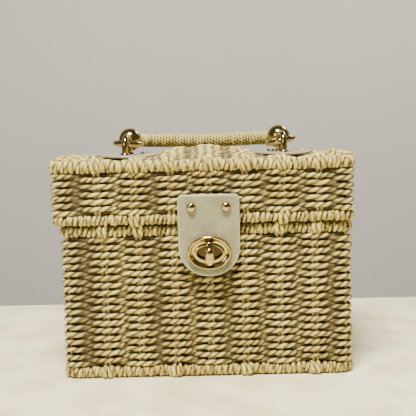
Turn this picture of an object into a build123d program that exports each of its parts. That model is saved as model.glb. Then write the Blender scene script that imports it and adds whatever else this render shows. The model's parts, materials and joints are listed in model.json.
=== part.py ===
"""Woven paper-cord box bag: a basket and a hinged lid on wire frames, a leather flap with a
turn lock, and a wrapped top handle that swings in two metal arches.

Units are millimetres. +Z is up, +X runs along the bag's width and the front faces -Y.
The origin is the middle of the base, on the surface that the bag stands on.
"""

import os
from math import atan2, cos, degrees, hypot, pi, radians, sin

from build123d import *

# Basket and lid, over the crests of the weave
BODY_WIDTH = 205.0
BODY_DEPTH = 106.0
BODY_HEIGHT = 107.4
LID_WIDTH = 211.0
LID_DEPTH = 110.0
LID_HEIGHT = 45.0
BODY_CENTRE = (0.0, 0.0)
LID_CENTRE = (-2.0, -1.0)  # the lid sits a little to the left, and stands out more at the front
LID_GAP = 0.3  # the lid's rim above the basket's rim
LID_CROWN = 2.0  # rise of the lid's top in its middle

# Cords and wires
CORD = 3.2  # weaving cord
STAKE = 2.4  # upright cords, in pairs side by side
WIRE = 2.4  # steel frame
POST = 2.0  # corner posts
CORNER = 5.5  # corner radius of the wire rings
FOOT_WRAP = 9.0  # outer diameter of the wrapped bottom and top edges
RIM_WRAP = 8.0  # outer diameter of the wrapped rims
FOOT_FLAT = 0.3  # how far the bottom wrap is pressed flat
STAKES_PER_FRONT = 7
STAKES_PER_SIDE = 3
STAKES_X = 2.0  # the middle stake of the front, behind the flap
BODY_STAKE_SPACING = 24.3
LID_STAKE_SPACING = 25.3
WALL = 2 * CORD + STAKE

# Levels
FOOT_Z = FOOT_WRAP / 2 - FOOT_FLAT
BODY_RIM_Z = BODY_HEIGHT - RIM_WRAP / 2
LID_BOTTOM = BODY_HEIGHT + LID_GAP
LID_RIM_Z = LID_BOTTOM + RIM_WRAP / 2
LID_TOP = LID_BOTTOM + LID_HEIGHT
LID_TOP_Z = LID_TOP - FOOT_WRAP / 2

# Hinge lashings
LASHING_CORD = 2.2
LASHING_WIDTH = 10.0
LASHING_X = {"outer_left": -60.5, "inner_left": -10.3, "inner_right": 14.3, "outer_right": 64.6}
LASHING_PLAY = 0.1
HINGE_Y = 53.9

# Leather flap
FLAP_WIDTH = 42.0
FLAP_THICKNESS = 2.0
FLAP_TOP = 128.5
FLAP_BEND = 112.85
FLAP_GAP = 0.15  # each length of the flap stops this far from the bend
FLAP_BOTTOM = 72.3
FLAP_ROUND = 19.5  # height of the rounded end
FLAP_X = 2.0  # the middle of the flap and of the lock
FLAP_BACK_Y = LID_CENTRE[1] - LID_DEPTH / 2 - 0.2
FLAP_FRONT_Y = FLAP_BACK_Y - FLAP_THICKNESS
RIVETS_X = (FLAP_X - 11.8, FLAP_X + 11.8)
RIVET_Z = 119.9
RIVET_HEAD = 6.5
RIVET_SHANK = 2.4

# Turn lock
LOCK_Z = 88.8
EYELET_WIDTH = 30.0
EYELET_HEIGHT = 23.5
EYELET_DEPTH = 2.6
SLOT_WIDTH = 17.4
SLOT_HEIGHT = 9.6
SLEEVE = 0.8
KNOB_LENGTH = 16.2
KNOB_WIDTH = 6.2
SPINDLE = 4.0
BOSS = 6.2

# Handle and its fittings
ARCH_X = 57.5
ARCH_REACH = 7.0  # middle of a leg from the middle of the arch
ARCH_BAR = 4.5
ARCH_YAW = 8.0
PATCH_WIDTH = 45.0
PATCH_DEPTH = 38.0
PATCH_THICKNESS = 1.6
PATCH_Z = LID_TOP - 0.1
ARCH_LEG = 6.4  # straight part of a leg, over the patch
PIVOT_Z = PATCH_Z + PATCH_THICKNESS + 7.9
STUD = 2.4
EYE_RADIUS = 9.55
EYE_BAR = 4.5
EYE_TILT = {"left": 4.0, "right": -12.0}
BALL_RADIUS = 8.9
BALL_Y = 25.5
BALL_RISE = 2.9  # the balls are centred this far over the pivots
GRIP = 11.0
GRIP_CORE = 7.0
GRIP_Y = 46.5
GRIP_SAG = 0.2  # the middle of the grip hangs this far under the pivots
GRIP_CORNER_DROP = 1.2  # each bend is this far under its ball
GRIP_BEND = 12.0

CLEAR = 0.1


def save(piece, name):
    """Labels a finished piece and writes it as parts/name.step."""
    piece.part.label = name
    export_step(piece.part, f"parts/{name}.step")


def middle_planes(width, depth):
    """Half width and half depth of the middle of a woven wall."""
    return width / 2 - WALL / 2, depth / 2 - WALL / 2


BODY_X, BODY_Y = middle_planes(BODY_WIDTH, BODY_DEPTH)
LID_X, LID_Y = middle_planes(LID_WIDTH, LID_DEPTH)


def loop_wire(half_x, half_y, centre, z):
    """The rounded rectangle that a wire ring follows."""
    with BuildSketch(Plane((*centre, z))) as outline:
        RectangleRounded(2 * half_x, 2 * half_y, CORNER)
    return outline.sketch.face().outer_wire()


def post_spots(half_x, half_y, centre):
    """Where the four corner posts stand, on the middle of each rounded corner."""
    inset = CORNER * (1 - cos(pi / 4))
    xs, ys = half_x - inset, half_y - inset
    return [(centre[0] + x, centre[1] + y) for x in (-xs, xs) for y in (-ys, ys)]


# %% Wire frames


def wire_ring(name, half_x, half_y, centre, z):
    """One closed ring of frame wire."""
    path = loop_wire(half_x, half_y, centre, z)
    with BuildPart() as ring:
        with BuildSketch(Plane(path @ 0, z_dir=path % 0)):
            Circle(WIRE / 2)
        sweep(path=path)
    save(ring, name)


def corner_posts(name, half_x, half_y, centre, low_ring_z, high_ring_z):
    """Four uprights welded between two rings."""
    height = high_ring_z - low_ring_z - WIRE
    with BuildPart() as posts:
        with Locations(*[(x, y, low_ring_z + WIRE / 2) for x, y in post_spots(half_x, half_y, centre)]):
            Cylinder(POST / 2, height, align=(Align.CENTER, Align.CENTER, Align.MIN))
    save(posts, name)


def edge_wrap(name, half_x, half_y, centre, z, diameter, posts_go_up, flat_at=None):
    """The tube of wrapping cord round a ring of frame wire, open where the posts leave it."""
    path = loop_wire(half_x, half_y, centre, z)
    with BuildPart() as wrap:
        with BuildSketch(Plane(path @ 0, z_dir=path % 0)):
            Circle(diameter / 2)
        sweep(path=path)
        with BuildSketch(Plane(path @ 0, z_dir=path % 0)):
            Circle(WIRE / 2)
        sweep(path=path, mode=Mode.SUBTRACT)
        low = z if posts_go_up else z - diameter
        with Locations(*[(x, y, low) for x, y in post_spots(half_x, half_y, centre)]):
            Cylinder(
                POST / 2,
                diameter,
                align=(Align.CENTER, Align.CENTER, Align.MIN),
                mode=Mode.SUBTRACT,
            )
        if flat_at is not None:
            with Locations((0, 0, flat_at)):
                Box(
                    4 * half_x,
                    6 * half_y,
                    diameter,
                    align=(Align.CENTER, Align.CENTER, Align.MAX),
                    mode=Mode.SUBTRACT,
                )
    save(wrap, name)


# %% Woven walls: an outer and an inner layer of cord, with the stakes between them

FRONT, BACK = -1, 1
LEFT, RIGHT = -1, 1


def skin_box(low, high):
    """A plain block between two corners, added to the piece being built."""
    size = [h - l for l, h in zip(low, high)]
    with Locations(tuple((l + h) / 2 for l, h in zip(low, high))):
        return Box(*size)


def cross_wall(half_x, half_y, centre, side, z_low, z_high):
    """The two layers of a front or back wall, with rounded outer corners. side is FRONT or BACK."""
    x, y = centre
    outer = y + side * (half_y + WALL / 2)
    outer_in = y + side * (half_y + STAKE / 2)
    inner_in = y + side * (half_y - WALL / 2)
    inner_out = y + side * (half_y - STAKE / 2)
    reach = half_x + WALL / 2
    short = half_x - WALL / 2 - CLEAR
    layer = skin_box(
        (x - reach, min(outer, outer_in), z_low),
        (x + reach, max(outer, outer_in), z_high),
    )
    uprights = layer.edges().filter_by(Axis.Z).group_by(Axis.Y)
    fillet(uprights[0] if side == FRONT else uprights[-1], CORD - 0.2)
    skin_box(
        (x - short, min(inner_in, inner_out), z_low),
        (x + short, max(inner_in, inner_out), z_high),
    )


def end_wall(half_x, half_y, centre, side, z_low, z_high):
    """The two layers of a left or right wall, between the front and back ones."""
    x, y = centre
    outer, outer_in = x + side * (half_x + WALL / 2), x + side * (half_x + STAKE / 2)
    inner_in, inner_out = x + side * (half_x - WALL / 2), x + side * (half_x - STAKE / 2)
    reach = half_y + STAKE / 2
    short = half_y - CORNER * (1 - cos(pi / 4)) - POST / 2 - CLEAR
    skin_box(
        (min(outer, outer_in), y - reach, z_low),
        (max(outer, outer_in), y + reach, z_high),
    )
    skin_box(
        (min(inner_in, inner_out), y - short, z_low),
        (max(inner_in, inner_out), y + short, z_high),
    )


def stake_places(count, spacing, centre):
    """Both cords of each pair of stakes along one wall."""
    middle = (count - 1) / 2
    return [
        centre + (k - middle) * spacing + offset
        for k in range(count)
        for offset in (-STAKE / 2, STAKE / 2)
    ]


def upright_stakes(name, spots, z_low, z_high):
    """Pairs of upright cords at (x, y) spots."""
    with BuildPart() as stakes:
        with Locations(*[(x, y, z_low) for x, y in spots]):
            Cylinder(STAKE / 2, z_high - z_low, align=(Align.CENTER, Align.CENTER, Align.MIN))
    save(stakes, name)


def rivet_holes(diameter):
    """Holes from front to back through the lid's front wall, for the flap's rivets."""
    with Locations(*[Location((x, -LID_DEPTH, RIVET_Z), (-90, 0, 0)) for x in RIVETS_X]):
        Cylinder(
            diameter / 2,
            LID_DEPTH,
            align=(Align.CENTER, Align.CENTER, Align.MIN),
            mode=Mode.SUBTRACT,
        )


PRONGS_X = (FLAP_X - 9.0, FLAP_X + 9.0)
PRONG_HEIGHT = 5.0
PRONG_THICKNESS = 1.0
BASE_PLATE_THICKNESS = 1.2
BODY_FRONT_Y = -BODY_DEPTH / 2
BODY_INSIDE_Y = BODY_FRONT_Y + WALL


def build_body():
    """The basket: frame, wraps, walls, base and stakes."""
    loop = (BODY_X, BODY_Y, BODY_CENTRE)
    wire_ring("base_ring_wire", *loop, FOOT_Z)
    wire_ring("body_rim_wire", *loop, BODY_RIM_Z)
    corner_posts("body_corner_posts", *loop, FOOT_Z, BODY_RIM_Z)
    edge_wrap("base_edge_wrap", *loop, FOOT_Z, FOOT_WRAP, posts_go_up=True, flat_at=0.0)
    edge_wrap("body_rim_wrap", *loop, BODY_RIM_Z, RIM_WRAP, posts_go_up=False)

    low = FOOT_Z + FOOT_WRAP / 2 + CLEAR
    high = BODY_RIM_Z - RIM_WRAP / 2 - CLEAR
    lashing_low = BODY_RIM_Z - RIM_WRAP / 2 - LASHING_PLAY - LASHING_CORD - CLEAR
    with BuildPart() as front:
        cross_wall(*loop, FRONT, low, high)
        with Locations(*[(x, BODY_FRONT_Y + WALL / 2, LOCK_Z) for x in PRONGS_X]):
            Box(PRONG_THICKNESS, 2 * WALL, PRONG_HEIGHT, mode=Mode.SUBTRACT)
    save(front, "body_front_weave")
    with BuildPart() as back:
        cross_wall(*loop, BACK, low, lashing_low)
    save(back, "body_back_weave")
    for side, name in ((LEFT, "body_left_weave"), (RIGHT, "body_right_weave")):
        with BuildPart() as wall:
            end_wall(*loop, side, low, high)
        save(wall, name)

    front_x = stake_places(STAKES_PER_FRONT, BODY_STAKE_SPACING, STAKES_X)
    side_y = stake_places(STAKES_PER_SIDE, BODY_DEPTH / (STAKES_PER_SIDE + 1), 0.0)
    upright_stakes("body_front_stakes", [(x, -BODY_Y) for x in front_x], low, high)
    upright_stakes("body_back_stakes", [(x, BODY_Y) for x in front_x], low, high)
    upright_stakes("body_left_stakes", [(-BODY_X, y) for y in side_y], low, high)
    upright_stakes("body_right_stakes", [(BODY_X, y) for y in side_y], low, high)

    # The base is woven the same way, lying flat, with its stakes running from front to back.
    inside_x, inside_y = BODY_X - FOOT_WRAP / 2 - 2 * CLEAR, BODY_Y - FOOT_WRAP / 2 - 2 * CLEAR
    with BuildPart() as base:
        skin_box((-inside_x, -inside_y, 0.0), (inside_x, inside_y, FOOT_Z - STAKE / 2))
        skin_box(
            (-inside_x, -inside_y, FOOT_Z + STAKE / 2),
            (inside_x, inside_y, 2 * FOOT_Z),
        )
    save(base, "base_weave")
    with BuildPart() as base_stakes:
        with Locations(*[Location((x, -inside_y, FOOT_Z), (-90, 0, 0)) for x in front_x]):
            Cylinder(STAKE / 2, 2 * inside_y, align=(Align.CENTER, Align.CENTER, Align.MIN))
    save(base_stakes, "base_stakes")


# %% The lid's crowned top


def crown_at(x, half_x):
    """Rise of the lid's top over the line x, along the lid's middle."""
    return LID_CROWN * (1 - (x / half_x) ** 2)


def crowned_layer(half_x, half_y, centre, z_low, z_high):
    """A layer of the top: arched sections lofted from one end of the lid to the other."""
    flat = 0.05
    with BuildPart() as layer:
        for x in (-half_x, 0.0, half_x):
            rise = max(crown_at(x, half_x), flat)
            section = Plane((centre[0] + x, centre[1], 0), x_dir=(0, 1, 0), z_dir=(1, 0, 0))
            with BuildSketch(section):
                with BuildLine():
                    ThreePointArc((-half_y, z_low), (0, z_low + rise), (half_y, z_low))
                    Line((half_y, z_low), (half_y, z_high))
                    ThreePointArc((half_y, z_high), (0, z_high + rise), (-half_y, z_high))
                    Line((-half_y, z_high), (-half_y, z_low))
                make_face()
        loft()
        stud_holes(STUD)
    return layer.part


def stud_spots():
    """Where the arches' studs go through the lid's top: two for each arch."""
    spots = []
    for side in (LEFT, RIGHT):
        turn = radians(side * ARCH_YAW)
        for end in (FRONT, BACK):
            spots.append((side * ARCH_X - end * ARCH_REACH * sin(turn), end * ARCH_REACH * cos(turn)))
    return spots


def stud_holes(diameter):
    """Holes for the studs, cut down through the piece being built."""
    with Locations(*[(x, y, LID_TOP_Z) for x, y in stud_spots()]):
        Cylinder(diameter / 2, 2 * LID_HEIGHT, mode=Mode.SUBTRACT)


TOP_MIDDLE_Z = LID_TOP_Z - 1.5  # the woven top hangs a little inside its ring
TOP_GAP = 3.0  # between the two layers of the lid's top
TOP_LAYER = 2.5


def build_lid():
    """The lid: frame, wraps, walls, crowned top and stakes."""
    loop = (LID_X, LID_Y, LID_CENTRE)
    centre_x, centre_y = LID_CENTRE
    wire_ring("lid_rim_wire", *loop, LID_RIM_Z)
    wire_ring("lid_top_wire", *loop, LID_TOP_Z)
    corner_posts("lid_corner_posts", *loop, LID_RIM_Z, LID_TOP_Z)
    edge_wrap("lid_rim_wrap", *loop, LID_RIM_Z, RIM_WRAP, posts_go_up=True)
    edge_wrap("lid_top_wrap", *loop, LID_TOP_Z, FOOT_WRAP, posts_go_up=False)

    low = LID_RIM_Z + RIM_WRAP / 2 + CLEAR
    high = LID_TOP_Z - FOOT_WRAP / 2 - CLEAR
    lashing_high = LID_RIM_Z + RIM_WRAP / 2 + LASHING_PLAY + LASHING_CORD + CLEAR
    with BuildPart() as front:
        cross_wall(*loop, FRONT, low, high)
        rivet_holes(RIVET_SHANK)
    save(front, "lid_front_weave")
    with BuildPart() as back:
        cross_wall(*loop, BACK, lashing_high, high)
    save(back, "lid_back_weave")
    for side, name in ((LEFT, "lid_left_weave"), (RIGHT, "lid_right_weave")):
        with BuildPart() as wall:
            end_wall(*loop, side, low, high)
        save(wall, name)

    front_x = stake_places(STAKES_PER_FRONT, LID_STAKE_SPACING, STAKES_X)
    side_y = stake_places(STAKES_PER_SIDE, LID_DEPTH / (STAKES_PER_SIDE + 1), centre_y)
    upright_stakes("lid_front_stakes", [(x, centre_y - LID_Y) for x in front_x], low, high)
    upright_stakes("lid_back_stakes", [(x, centre_y + LID_Y) for x in front_x], low, high)
    upright_stakes("lid_left_stakes", [(centre_x - LID_X, y) for y in side_y], low, high)
    upright_stakes("lid_right_stakes", [(centre_x + LID_X, y) for y in side_y], low, high)

    inside_x, inside_y = LID_X - FOOT_WRAP / 2 - CLEAR, LID_Y - FOOT_WRAP / 2 - CLEAR
    with BuildPart() as top:
        for z in (TOP_MIDDLE_Z - TOP_GAP / 2 - TOP_LAYER, TOP_MIDDLE_Z + TOP_GAP / 2):
            add(crowned_layer(inside_x, inside_y, LID_CENTRE, z, z + TOP_LAYER))
    save(top, "lid_top_weave")

    with BuildPart() as top_stakes:
        for x in front_x:
            with BuildLine(Plane((x, centre_y, 0), x_dir=(0, 1, 0), z_dir=(1, 0, 0))) as run:
                ThreePointArc(
                    (-inside_y + CLEAR, TOP_MIDDLE_Z),
                    (0, TOP_MIDDLE_Z + crown_at(x - centre_x, inside_x)),
                    (inside_y - CLEAR, TOP_MIDDLE_Z),
                )
            with BuildSketch(Plane(run.line @ 0, z_dir=run.line % 0)):
                Circle(STAKE / 2)
            sweep(path=run.line)
    save(top_stakes, "lid_top_stakes")


# %% Hinge lashings


def build_lashings():
    """Four flat coils of cord that tie the lid's back rim to the basket's back rim."""
    low = (BODY_Y, BODY_RIM_Z)
    high = (LID_CENTRE[1] + LID_Y, LID_RIM_Z)
    apart = hypot(high[0] - low[0], high[1] - low[1])
    lean = degrees(atan2(high[1] - low[1], high[0] - low[0]))
    middle = ((low[0] + high[0]) / 2, (low[1] + high[1]) / 2)
    inner = RIM_WRAP + 2 * LASHING_PLAY
    for name, x in LASHING_X.items():
        with BuildPart() as lashing:
            with BuildSketch(Plane((x, 0, 0), x_dir=(0, 1, 0), z_dir=(1, 0, 0))):
                with Locations(middle):
                    SlotCenterToCenter(apart, inner + 2 * LASHING_CORD, rotation=lean)
                    SlotCenterToCenter(apart, inner, rotation=lean, mode=Mode.SUBTRACT)
            extrude(amount=LASHING_WIDTH / 2, both=True)
        save(lashing, f"hinge_lashing_{name}")


# %% Flap and turn lock

def front_plane(y):
    """A plane at depth y that faces forward: its x is the bag's x and its y is the bag's z."""
    return Plane((0, y, 0), x_dir=(1, 0, 0), z_dir=(0, -1, 0))


def build_flap():
    """The leather flap in two lengths, with its rivets and washers."""
    half = FLAP_WIDTH / 2
    with BuildPart() as anchor:
        with BuildSketch(front_plane(FLAP_BACK_Y)):
            with Locations((FLAP_X, (FLAP_TOP + FLAP_BEND + FLAP_GAP) / 2)):
                Rectangle(FLAP_WIDTH, FLAP_TOP - FLAP_BEND - FLAP_GAP)
        extrude(amount=FLAP_THICKNESS)
        fillet(anchor.edges().filter_by(Axis.Y).group_by(Axis.Z)[-1], 3.0)
        rivet_holes(RIVET_SHANK)
    save(anchor, "flap_anchor")

    with BuildPart() as tongue:
        with BuildSketch(front_plane(FLAP_BACK_Y)):
            round_z = FLAP_BOTTOM + FLAP_ROUND
            with Locations((FLAP_X, round_z)):
                Ellipse(half, FLAP_ROUND)
            with Locations((FLAP_X, (round_z + FLAP_BEND - FLAP_GAP) / 2)):
                Rectangle(FLAP_WIDTH, FLAP_BEND - FLAP_GAP - round_z)
            with Locations((FLAP_X, LOCK_Z)):
                Ellipse(SLOT_WIDTH / 2 + SLEEVE, SLOT_HEIGHT / 2 + SLEEVE, mode=Mode.SUBTRACT)
        extrude(amount=FLAP_THICKNESS)
    save(tongue, "flap_tongue")

    # Domed rivets: the head lies on the leather and the shank goes through the lid's wall.
    inside_y = LID_CENTRE[1] - LID_Y + WALL / 2
    washer = 0.8
    rise = 2.4
    dome = ((RIVET_HEAD / 2) ** 2 + rise**2) / (2 * rise)
    with BuildPart() as rivets:
        for x in RIVETS_X:
            with Locations((x, FLAP_FRONT_Y - rise + dome, RIVET_Z)):
                Sphere(dome)
        split(bisect_by=Plane.XZ.offset(-FLAP_FRONT_Y), keep=Keep.TOP)
        with Locations(*[Location((x, FLAP_FRONT_Y, RIVET_Z), (-90, 0, 0)) for x in RIVETS_X]):
            Cylinder(
                RIVET_SHANK / 2,
                inside_y + washer - FLAP_FRONT_Y,
                align=(Align.CENTER, Align.CENTER, Align.MIN),
            )
    save(rivets, "flap_rivets")
    with BuildPart() as washers:
        for x in RIVETS_X:
            with BuildSketch(Plane((x, inside_y, RIVET_Z), x_dir=(1, 0, 0), z_dir=(0, 1, 0))):
                Circle(4.0)
                Circle(RIVET_SHANK / 2, mode=Mode.SUBTRACT)
            extrude(amount=washer)
    save(washers, "flap_rivet_washers")


def build_lock():
    """The eyelet on the flap, and the base, spindle and knob on the basket."""
    slot = (SLOT_WIDTH / 2, SLOT_HEIGHT / 2)
    rim = (EYELET_WIDTH / 2, EYELET_HEIGHT / 2)
    # The eyelet rises from its edge to a ridge and falls again to the slot.
    ridge_share, edge_rise, slot_rise = 0.86, 1.0, 0.9
    ridge = (rim[0] * ridge_share, rim[1] * ridge_share)
    with BuildPart() as eyelet:
        levels = [(rim, 0.0), (rim, edge_rise), (ridge, EYELET_DEPTH)]
        for (low_size, low), (high_size, high) in zip(levels, levels[1:]):
            for size, level in ((low_size, low), (high_size, high)):
                with BuildSketch(front_plane(FLAP_FRONT_Y - level)):
                    with Locations((FLAP_X, LOCK_Z)):
                        Ellipse(*size)
            loft()
        # the dish
        for size, level in ((slot, slot_rise), (ridge, EYELET_DEPTH)):
            with BuildSketch(front_plane(FLAP_FRONT_Y - level)):
                with Locations((FLAP_X, LOCK_Z)):
                    Ellipse(size[0] - 0.4, size[1] - 0.4)
        loft(mode=Mode.SUBTRACT)
        # the sleeve through the leather
        with BuildSketch(front_plane(FLAP_BACK_Y + 0.8)):
            with Locations((FLAP_X, LOCK_Z)):
                Ellipse(slot[0] + SLEEVE, slot[1] + SLEEVE)
        extrude(amount=FLAP_THICKNESS + 0.8)
        with BuildSketch(front_plane(FLAP_BACK_Y + 2)):
            with Locations((FLAP_X, LOCK_Z)):
                Ellipse(*slot)
        extrude(amount=FLAP_THICKNESS + EYELET_DEPTH + 4, mode=Mode.SUBTRACT)
    save(eyelet, "lock_eyelet")

    with BuildPart() as back_plate:
        with BuildSketch(front_plane(FLAP_BACK_Y + 0.8)):
            with Locations((FLAP_X, LOCK_Z)):
                Ellipse(rim[0] - 1.0, rim[1] - 1.0)
                Ellipse(slot[0] + SLEEVE, slot[1] + SLEEVE, mode=Mode.SUBTRACT)
        extrude(amount=0.8)
    save(back_plate, "lock_eyelet_back_plate")

    # Base plate with the boss that the spindle turns in, and two prongs through the wall.
    plate_front = BODY_FRONT_Y - BASE_PLATE_THICKNESS
    boss_front = FLAP_FRONT_Y - EYELET_DEPTH + 0.2
    head_depth, head_radius = 0.8, 3.2
    inside_plate = 1.0
    prong_reach = WALL + inside_plate + 0.8
    with BuildPart() as base:
        with BuildSketch(front_plane(BODY_FRONT_Y)):
            with Locations((FLAP_X, LOCK_Z)):
                Ellipse(13.0, 8.5)
        extrude(amount=BASE_PLATE_THICKNESS)
        with BuildSketch(front_plane(plate_front)):
            with Locations((FLAP_X, LOCK_Z)):
                Circle(BOSS / 2)
        extrude(amount=plate_front - boss_front)
        with Locations(*[(x, BODY_FRONT_Y, LOCK_Z) for x in PRONGS_X]):
            Box(
                PRONG_THICKNESS,
                prong_reach,
                PRONG_HEIGHT,
                align=(Align.CENTER, Align.MIN, Align.CENTER),
            )
        with BuildSketch(front_plane(BODY_FRONT_Y + 1)):
            with Locations((FLAP_X, LOCK_Z)):
                Circle(SPINDLE / 2 + 0.05)
        extrude(amount=20, mode=Mode.SUBTRACT)
        with BuildSketch(front_plane(BODY_FRONT_Y)):
            with Locations((FLAP_X, LOCK_Z)):
                Circle(head_radius + 0.1)
        extrude(amount=head_depth, mode=Mode.SUBTRACT)
    save(base, "lock_base_plate")

    with BuildPart() as inside:
        with BuildSketch(front_plane(BODY_INSIDE_Y + inside_plate)):
            with Locations((FLAP_X, LOCK_Z)):
                Ellipse(13.0, 8.0)
            with Locations(*[(x, LOCK_Z) for x in PRONGS_X]):
                Rectangle(PRONG_THICKNESS, PRONG_HEIGHT, mode=Mode.SUBTRACT)
        extrude(amount=inside_plate)
    save(inside, "lock_inside_plate")

    # The knob: a long rounded wing with a hump across its middle, on a headed spindle.
    wing_back = boss_front - 0.6
    wing_depth, hump_depth, hump_length = 2.6, 3.0, 8.4
    with BuildPart() as knob:
        with BuildSketch(front_plane(wing_back)):
            with Locations((FLAP_X, LOCK_Z)):
                SlotOverall(KNOB_LENGTH, KNOB_WIDTH, rotation=90)
        extrude(amount=wing_depth)
        fillet(knob.faces().sort_by(Axis.Y)[0].edges(), 1.2)
        with BuildSketch(front_plane(wing_back - wing_depth / 2)):
            with Locations((FLAP_X, LOCK_Z)):
                RectangleRounded(KNOB_WIDTH - 0.4, hump_length, 2.4)
        extrude(amount=wing_depth / 2 + hump_depth)
        fillet(knob.faces().sort_by(Axis.Y)[0].edges(), 2.0)
        with BuildSketch(front_plane(BODY_FRONT_Y)):
            with Locations((FLAP_X, LOCK_Z)):
                Circle(head_radius)
        extrude(amount=head_depth - 0.1)
        with BuildSketch(front_plane(BODY_FRONT_Y)):
            with Locations((FLAP_X, LOCK_Z)):
                Circle(SPINDLE / 2)
        extrude(amount=BODY_FRONT_Y - wing_back)
    save(knob, "lock_knob")


# %% Handle and its fittings


def build_arches():
    """Leather patches, arches with studs, backing plates and nuts."""
    patch_top = PATCH_Z + PATCH_THICKNESS
    plate_top = TOP_MIDDLE_Z - TOP_GAP / 2 - TOP_LAYER - CLEAR
    plate_thickness, nut_height = 1.2, 2.4
    stud_end = plate_top - plate_thickness - nut_height - 1.0
    spots = stud_spots()
    for side, name in ((LEFT, "left"), (RIGHT, "right")):
        own = [s for s in spots if s[0] * side > 0]
        with BuildPart() as patch:
            with BuildSketch(Plane.XY.offset(PATCH_Z)):
                with Locations((side * ARCH_X, 0)):
                    Ellipse(PATCH_WIDTH / 2, PATCH_DEPTH / 2)
                with Locations(*own):
                    Circle(STUD / 2, mode=Mode.SUBTRACT)
            extrude(amount=PATCH_THICKNESS)
        save(patch, f"handle_patch_{name}")

        turned = Plane(
            (side * ARCH_X, 0, patch_top),
            x_dir=(-sin(radians(side * ARCH_YAW)), cos(radians(side * ARCH_YAW)), 0),
            z_dir=(cos(radians(side * ARCH_YAW)), sin(radians(side * ARCH_YAW)), 0),
        )
        with BuildPart() as arch:
            with BuildLine(turned) as bow:
                Line((-ARCH_REACH, 0), (-ARCH_REACH, ARCH_LEG))
                ThreePointArc(
                    (-ARCH_REACH, ARCH_LEG), (0, ARCH_LEG + ARCH_REACH), (ARCH_REACH, ARCH_LEG)
                )
                Line((ARCH_REACH, ARCH_LEG), (ARCH_REACH, 0))
            with BuildSketch(Plane(bow.line @ 0, z_dir=bow.line % 0)):
                Circle(ARCH_BAR / 2)
            sweep(path=bow.line)
            with Locations(*[(x, y, patch_top) for x, y in own]):
                Cylinder(ARCH_BAR / 2 + 1.0, 1.2, align=(Align.CENTER, Align.CENTER, Align.MIN))
            with Locations(*[(x, y, stud_end) for x, y in own]):
                Cylinder(STUD / 2, patch_top - stud_end, align=(Align.CENTER, Align.CENTER, Align.MIN))
        save(arch, f"handle_arch_{name}")

        with BuildPart() as plate:
            with BuildSketch(Plane((side * ARCH_X, 0, plate_top - plate_thickness))):
                SlotOverall(2 * ARCH_REACH + 12, 10, rotation=90 + side * ARCH_YAW)
            extrude(amount=plate_thickness)
            with Locations(*[(x, y, plate_top) for x, y in own]):
                Cylinder(STUD / 2, 2 * plate_thickness + 1, mode=Mode.SUBTRACT)
        save(plate, f"arch_backing_plate_{name}")

    with BuildPart() as nuts:
        with BuildSketch(Plane.XY.offset(plate_top - plate_thickness - nut_height)):
            with Locations(*spots):
                RegularPolygon(3.2, 6)
                Circle(STUD / 2, mode=Mode.SUBTRACT)
        extrude(amount=nut_height)
    save(nuts, "arch_nuts")


def grip_path():
    """The grip's middle line, from inside one end cap to inside the other."""
    end_y = BALL_Y + 3.0
    end_z = PIVOT_Z + BALL_RISE
    corner_z = end_z - GRIP_CORNER_DROP
    points = [
        (-ARCH_X, end_y, end_z),
        (-ARCH_X, GRIP_Y - 1.0, corner_z),
        (0, GRIP_Y, PIVOT_Z - GRIP_SAG),
        (ARCH_X, GRIP_Y - 1.0, corner_z),
        (ARCH_X, end_y, end_z),
    ]
    with BuildLine() as path:
        FilletPolyline(*points, radius=[GRIP_BEND, 300.0, GRIP_BEND])
    return path.line


def build_handle():
    """Two ball-shaped end caps with eyes, the core and the cord wrapped round it."""
    path = grip_path()
    start = Plane(path @ 0, z_dir=path % 0)
    with BuildPart() as core:
        with BuildSketch(start):
            Circle(GRIP_CORE / 2)
        sweep(path=path)
    save(core, "handle_core")
    with BuildPart() as wrap:
        with BuildSketch(start):
            Circle(GRIP / 2)
        sweep(path=path)
        with BuildSketch(start):
            Circle(GRIP_CORE / 2)
        sweep(path=path, mode=Mode.SUBTRACT)
    save(wrap, "handle_wrap")

    collar_radius, collar_end = GRIP / 2 + 1.2, BALL_Y + 9.2
    for side, name in ((LEFT, "left"), (RIGHT, "right")):
        middle = (side * ARCH_X, BALL_Y, PIVOT_Z + BALL_RISE)
        with BuildPart() as cap:
            with Locations(middle):
                Sphere(BALL_RADIUS)
            with BuildSketch(Plane(middle, x_dir=(1, 0, 0), z_dir=(0, 1, 0))):
                Circle(collar_radius)
            extrude(amount=collar_end - BALL_Y)
            fillet(cap.faces().sort_by(Axis.Y)[-1].edges(), 0.6)
            eye = Plane((side * ARCH_X, EYE_RADIUS, PIVOT_Z)).rotated((0, EYE_TILT[name], 0))
            with Locations(eye.location):
                Torus(EYE_RADIUS, EYE_BAR / 2)
            add(wrap_room(side), mode=Mode.SUBTRACT)
        save(cap, f"handle_cap_{name}")


def wrap_room(side):
    """The space that the grip's end takes inside a cap."""
    path = grip_path()
    at_start = side == LEFT
    spot = path @ (0 if at_start else 1)
    with BuildPart(mode=Mode.PRIVATE) as room:
        with BuildSketch(Plane(spot, z_dir=(path % 0) if at_start else -(path % 1))):
            Circle(GRIP / 2 + 0.1)
        extrude(amount=20)
    return room.part


if __name__ == "__main__":
    os.makedirs("parts", exist_ok=True)
    build_body()
    build_lid()
    build_lashings()
    build_flap()
    build_lock()
    build_arches()
    build_handle()
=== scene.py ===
# %% [markdown]
# # A box bag woven from paper cord
#
# The bag is a stiff wire box that is covered with twisted paper cord. Upright pairs of cord, the
# stakes, stand between the wires, and one long cord, the weft, runs round and round them, in front
# of one stake and behind the next. The wires themselves are hidden under tight turns of the same
# cord. So almost everything that shows is one kind of line: a two-ply cord that follows a path.
#
# A picture of a weave on flat walls would look flat at the corners and at the edges. Here every
# cord is real geometry, so that it casts its own small shadows. The dark gaps come partly from
# these shadows and partly from painted shade on the cords that lie deep in a wall.

import json
from math import cos, pi, radians, sin

import bpy
import numpy as np
from mathutils import Matrix, Vector


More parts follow.
